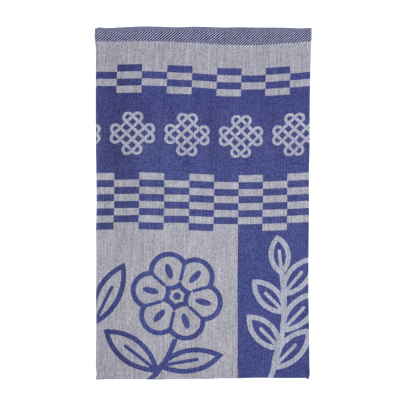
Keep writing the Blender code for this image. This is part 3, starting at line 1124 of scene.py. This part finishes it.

# %% [markdown]
# ### Colours
#
# The pale yarn is brightest where it floats in small figures, and greyer in the plain strip,
# where more blue shows between it. The blue yarn is a little deeper beside the hem. Both
# darken towards the half fold, which is painted shade where the cloth bends down to it. A
# colour ramp for each yarn, read down the cloth, says so. The grain then does two things: it
# lightens and darkens the yarns, and it lets a little of the other yarn show through. The
# pale cloth gets its bluish flecks from the second, and the blue cloth most of its grain from
# the first.

# %% Grain of the yarns
# How much of each there is where the blue yarn is on top, and where the pale one is
GRAINS = {
    "Streak": (0.48, 0.90), "Pick": (0.36, 0.14), "Fleck": (0.88, 0.76), "Patch": (0.28, 0.24),
    "Repeat": (0.045, 0.035),
}
SHADES = (1.0, 0.62)
LETS_THROUGH = (0.12, 0.50)

by_yarn = partial(put, "mix numbers", pale_on_top)
yarn = put(yarn_tree, across, down).node.outputs
grain = 0.0
for name, amounts in GRAINS.items():
    grain = put("MULTIPLY_ADD", yarn[name], by_yarn(*amounts), grain)
pale_share = put("MULTIPLY_ADD", grain, by_yarn(*LETS_THROUGH), pale_on_top)
brightness = put("MULTIPLY_ADD", grain, by_yarn(*SHADES), 1.0)
print(len(GRAINS), "kinds of grain")

# %% Colours of the yarns
# Each yarn's colour at distances below the seam, in millimetres. The last stops, darker
# towards the half fold, are painted shade.
PALE_COLOURS = [
    (0, "#a09fab"), (20, "#a09fab"), (23, "#a3a2b0"), (48, "#a3a2b0"), (60, "#a8aabc"),
    (112, "#a8aabc"), (122, "#a9a9b6"), (172, "#a9a9b6"), (178, "#a9a8b4"),
    (270, "#a9a8b4"), (310, "#a3a2ae"),
]
BLUE_COLOURS = [
    (0, "#3d437f"), (46, "#3d437f"), (52, "#3e4380"), (85, "#42477e"), (108, "#424881"),
    (116, "#434985"), (135, "#434983"), (172, "#434983"), (182, "#414985"), (265, "#414985"),
    (295, "#3e4581"),
]
PALE_LINES = "#a8abbc"

share_down = put("/", down, CLOTH_MIDDLE / MM)
pale_colour, blue_colour = (
    put("ramp", share_down, stops=[(place * MM / CLOTH_MIDDLE, linear(colour)) for place, colour in row])
    for row in (PALE_COLOURS, BLUE_COLOURS)
)
# Lines of pale yarn in the blue field are as bluish as the knots
on_blue_field = put("GREATER_THAN", passed, field_is_pale)
pale_colour = put("mix colours", on_blue_field, pale_colour, linear(PALE_LINES))
figured = put("mix colours", pale_share, blue_colour, pale_colour, clamp_factor=False)
print(len(PALE_COLOURS), "stops for the pale yarn and", len(BLUE_COLOURS), "for the blue")

# %% Painted shade beside the folds
# Painted shade: what share of its light each yarn loses at places across the cloth, in
# millimetres, in a band beside the left fold's bulge and a line at the right fold
BLUE_PAINTED_SHADE = [
    (-101, 0.02), (-96, 0.1), (-91, 0.22), (-84, 0.25), (-75, 0.25), (-54, 0),
    (95, 0), (98, 0.22),
]
PALE_PAINTED_SHADE = [(-101, 0.04), (-93, 0.09), (-84, 0.1), (-66, 0.1), (-50, 0.035), (20, 0)]
# The pale yarn's painted shade shows fully from this far below the seam on, and less above
PALE_SHADE_FULL_FROM = 150.0
PALE_SHADE_AT_SEAM = 0.45
# How smooth the hem's rolled edge looks: 1 hides the ribs there. It is half open in two
# short stretches and from past the middle on.
ROLL_STRETCHES = [
    (-104, 0.9), (-84, 0.9), (-79, 0.4), (-73, 0.4), (-68, 0.84),
    (-46, 0.8), (-41, 0.4), (-35, 0.4), (-30, 0.84), (14, 0.84), (22, 0.35),
    (44, 0.35), (52, 0.6), (64, 0.6), (72, 0.3), (104, 0.25),
]
ACROSS_SPAN = 210.0

shown_place = put("MULTIPLY_ADD", across, 1.0 / ACROSS_SPAN, 0.5)
blue_painted_shade, pale_painted_shade, smoothness = (
    put(
        "ramp", shown_place,
        stops=[(place / ACROSS_SPAN + 0.5, (value, value, value, 1.0)) for place, value in row],
    )
    for row in (BLUE_PAINTED_SHADE, PALE_PAINTED_SHADE, ROLL_STRETCHES)
)
# Painted shade: each yarn's colour is darkened by its ramp, the pale one's less near the seam
pale_shade_share = put("ShaderNodeMapRange", down, 0.0, PALE_SHADE_FULL_FROM, PALE_SHADE_AT_SEAM, 1.0)
painted_shade = by_yarn(blue_painted_shade, ("*", pale_painted_shade, pale_shade_share))
figured = put("scale", figured, ("-", 1.0, painted_shade))
print("the blue yarn is dullest from", BLUE_PAINTED_SHADE[3][0], "to", BLUE_PAINTED_SHADE[4][0], "mm")

# %% Twill band and its rolled edge
NAVY = "#0f103c"
LAVENDER = "#c6c8ee"
ROLLED = "#6f708f"
SMOOTH_TO = ROLL_DEPTH * 0.92
RIBS_FROM = ROLL_DEPTH * 1.12
HEM_REACHES = 0.5

twill = put(twill_tree, across, down)
twill_colour = put("mix colours", twill, linear(NAVY), linear(LAVENDER))
from_hem = put("ShaderNodeAttribute", out="Fac", attribute_name="from_edge")
near_edge = put("ShaderNodeMapRange", from_hem, SMOOTH_TO, RIBS_FROM, 1.0, 0.0)
rolled = put("*", near_edge, smoothness)
hem_colour = put("mix colours", rolled, twill_colour, linear(ROLLED))
in_hem = put("LESS_THAN", down, HEM_REACHES)
woven = put("mix colours", in_hem, figured, hem_colour)
print("the hem is rolled to", ROLL_DEPTH / MM, "mm")

# %% [markdown]
# ### Surface
#
# Cotton is matt: rough, with the plain index of refraction of fibre, and a faint bloom from
# the fibre ends that stand off it, which the sheen gives. The relief adds the pillows of the
# weave, the ribs of the twill and the pale floats, which lie a little above the blue ground.

# %% Surface of the cotton
WEAVE_RISE = 0.16 * MM
FLOAT_RISE = 0.35
RIB_RISE = 0.9
STREAK_RISE = 0.6
ROUGHNESS = 0.88
ROUGHNESS_VARIES = 0.12

open_twill = put("MAXIMUM", ("-", in_hem, rolled), 0.0)
ribs = put("*", ("*", twill, RIB_RISE), open_twill)
height = put("+", yarn["Relief"], ("*", pale_on_top, FLOAT_RISE))
height = put("MULTIPLY_ADD", yarn["Streak"], STREAK_RISE, ("+", height, ribs))
relief = put("ShaderNodeBump", {"Height": height, "Distance": WEAVE_RISE, "Strength": 0.7})
feed(shader, {
    "Base Color": ("scale", woven, brightness),
    "Normal": relief,
    "Roughness": ("MULTIPLY_ADD", yarn["Fleck"], ROUGHNESS_VARIES, ROUGHNESS),
    "IOR": 1.45,
    "Specular IOR Level": 0.3,
    "Sheen Weight": 0.12,
    "Sheen Roughness": 0.5,
})
sheet.data.materials.append(cotton)
print("figured cotton has", len(cotton.node_tree.nodes), "nodes")

# %% [markdown]
# ## Joining the frame
#
# The sheet stands for the solid cloth, which stays out of sight and keeps the weight and the
# collisions. Both pieces ride on the one body. The cloth was cut to 59 by 65 cm.

# %% Frame calls
for piece in (sheet, stitches):
    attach(piece, "root")
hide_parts("towel_cloth")
